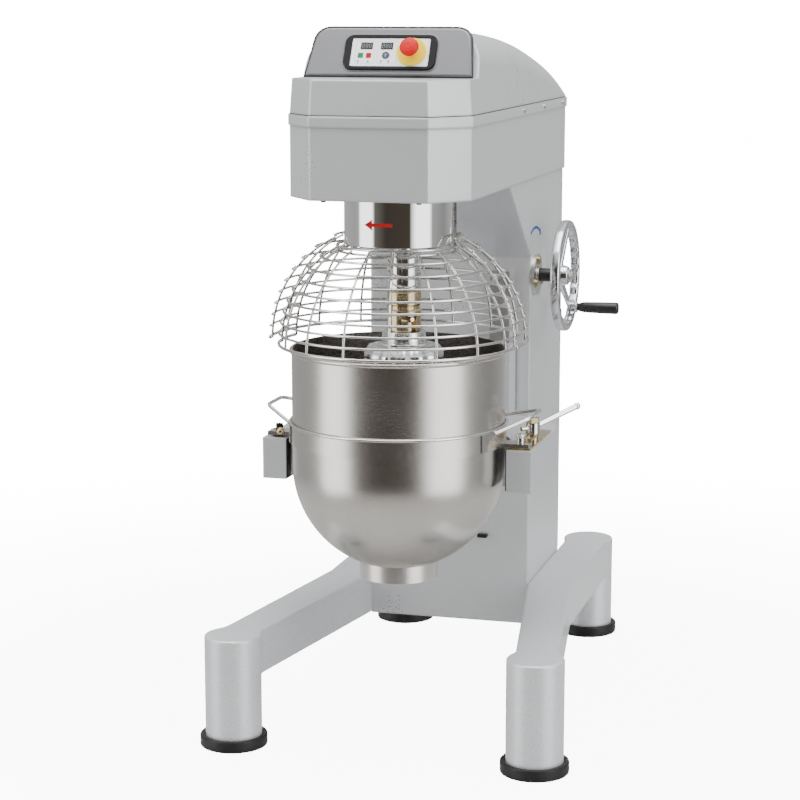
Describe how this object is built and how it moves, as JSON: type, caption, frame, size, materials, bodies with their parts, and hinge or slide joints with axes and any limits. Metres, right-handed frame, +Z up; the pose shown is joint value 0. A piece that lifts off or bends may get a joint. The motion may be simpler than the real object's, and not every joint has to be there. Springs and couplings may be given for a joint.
{
  "type": "commercial stand mixer",
  "caption": "Floor-standing planetary mixer with a wire whisk, a steel bowl on a hand-wheel lift, a swinging wire guard and a tilted control panel on the head.",
  "frame": {"origin": "on the floor under the middle of the machine's outline", "axes": "+Z up, -Y the front with the bowl, +X the side with the hand wheel (the machine's left as it faces forward)"},
  "size_m": [0.795, 1.2389, 1.5025],
  "materials": {
    "stand_paint": "semi-gloss metallic silver grey paint",
    "body_paint": "semi-gloss metallic silver grey paint",
    "pod_paint": "metallic mid grey paint",
    "black_plastic": "fine grain",
    "foil": "smooth printed foil",
    "display": "dark window",
    "red_plastic": "moulded",
    "green_plastic": "moulded",
    "yellow_plastic": "moulded",
    "black_rubber": "moulded",
    "stainless": "brushed stainless steel",
    "polished_steel": "mirror polished",
    "bright_wire": "bright plated wire",
    "steel": "machined, oiled",
    "zinc": "zinc plated",
    "gold_zinc": "yellow passivated plate",
    "bronze": "turned bronze",
    "cast_iron": "painted silver grey casting",
    "iron_machined": "machined",
    "alu": "cast and polished",
    "belt": "ribbed belt",
    "motor_paint": "grey enamel"
  },
  "bodies": {
    "frame": {"side_beams": "stand_paint", "leg_posts": "stand_paint", "rubber_feet": "black_rubber", "levelling_screws": "zinc", "base_cross_member": "stand_paint", "column_shell": "body_paint", "column_rear_cover": "body_paint", "cover_screws": "zinc", "slideways": "steel", "screw_bearings": "iron_machined", "handwheel_flange": "zinc", "flange_bolts": "zinc", "cable_gland": "black_plastic", "head_housing": "body_paint", "head_cover": "body_paint", "control_pod": "pod_paint", "control_panel": "black_plastic", "panel_membrane": "foil", "panel_displays": "display", "estop_ring": "yellow_plastic", "ring_gear": "steel", "main_bearings": "steel", "motor": "motor_paint", "drive_belt": "belt", "rear_guard": "bright_wire", "guard_brackets": "stainless"},
    "screw": {"lift_screw": "steel", "bevel_wheel": "steel"},
    "wheel": {"handwheel_shaft": "steel", "bevel_pinion": "steel", "handwheel": "alu", "handwheel_collar": "black_plastic", "handwheel_bolts": "zinc"},
    "grip": {"handwheel_grip": "black_plastic"},
    "carriage": {"bowl_yoke": "cast_iron", "gib_plates": "steel", "lift_nut": "bronze", "bowl_pins": "zinc", "clamp_bracket": "gold_zinc", "clamp_bolt": "gold_zinc", "bowl": "stainless", "bowl_band": "stainless", "bowl_handles": "bright_wire", "bowl_foot_ring": "stainless"},
    "clamp": {"clamp_lever": "polished_steel"},
    "planetary": {"planet_drum": "polished_steel", "shaft_bearings": "steel", "main_shaft": "steel", "driven_pulley": "iron_machined"},
    "motor_rotor": {"motor_pulley": "iron_machined"},
    "agitator": {"agitator_shaft": "polished_steel", "planet_pinion": "steel", "bayonet_sleeve": "bronze", "whisk_hub": "alu", "whisk_wires": "bright_wire"},
    "guard": {"front_guard": "bright_wire"},
    "estop": {"estop_button": "red_plastic"},
    "start": {"start_key": "green_plastic"},
    "stop": {"stop_key": "red_plastic"},
    "mode": {"mode_key": "black_plastic"}
  },
  "joints": [
    {"name": "handwheel_turn", "type": "hinge", "parent": "frame", "child": "wheel", "pos_m": [0.256, 0.1075, 0.948], "axis": [1, 0, 0], "range_deg": [-10800, 0]},
    {"name": "lift_screw_turn", "type": "hinge", "parent": "frame", "child": "screw", "pos_m": [0, 0.1075, 0.6], "axis": [0, 0, 1], "range_deg": [-5401, 1]},
    {"name": "carriage_lift", "type": "slide", "parent": "frame", "child": "carriage", "axis": [0, 0, 1], "range_m": [-0.2405, 0.0005]},
    {"name": "grip_spin", "type": "hinge", "parent": "wheel", "child": "grip", "pos_m": [0.3, 0.1775, 0.868], "axis": [1, 0, 0], "continuous": true},
    {"name": "clamp_lever_turn", "type": "hinge", "parent": "carriage", "child": "clamp", "pos_m": [0.272, -0.299, 0.677], "axis": [0, 0, 1], "range_deg": [-60, 60]},
    {"name": "planetary_spin", "type": "hinge", "parent": "frame", "child": "planetary", "pos_m": [0, -0.369, 1.2], "axis": [0, 0, 1], "continuous": true},
    {"name": "agitator_spin", "type": "hinge", "parent": "planetary", "child": "agitator", "pos_m": [0.03043, -0.43425, 1.1], "axis": [0, 0, 1], "continuous": true},
    {"name": "motor_spin", "type": "hinge", "parent": "frame", "child": "motor_rotor", "pos_m": [0, 0.2385, 1.36], "axis": [0, 0, 1], "continuous": true},
    {"name": "front_guard_swing", "type": "hinge", "parent": "frame", "child": "guard", "pos_m": [0, -0.369, 1.05], "axis": [0, 0, 1], "range_deg": [0, 110]},
    {"name": "estop_press", "type": "slide", "parent": "frame", "child": "estop", "axis": [0, -0.8829, 0.4695], "range_m": [-0.004, 0], "stiffness_N_per_m": 800},
    {"name": "start_press", "type": "slide", "parent": "frame", "child": "start", "axis": [0, -0.8829, 0.4695], "range_m": [-0.001, 0], "stiffness_N_per_m": 200},
    {"name": "stop_press", "type": "slide", "parent": "frame", "child": "stop", "axis": [0, -0.8829, 0.4695], "range_m": [-0.001, 0], "stiffness_N_per_m": 200},
    {"name": "mode_press", "type": "slide", "parent": "frame", "child": "mode", "axis": [0, -0.8829, 0.4695], "range_m": [-0.001, 0], "stiffness_N_per_m": 200}
  ],
  "couplings": [
    {"joint": "lift_screw_turn", "follows": "handwheel_turn", "ratio": 0.5},
    {"joint": "carriage_lift", "follows": "handwheel_turn", "m_per_rad": 0.0012732},
    {"joint": "agitator_spin", "follows": "planetary_spin", "ratio": -3.6667},
    {"joint": "motor_spin", "follows": "planetary_spin", "ratio": 2.8889}
  ]
}
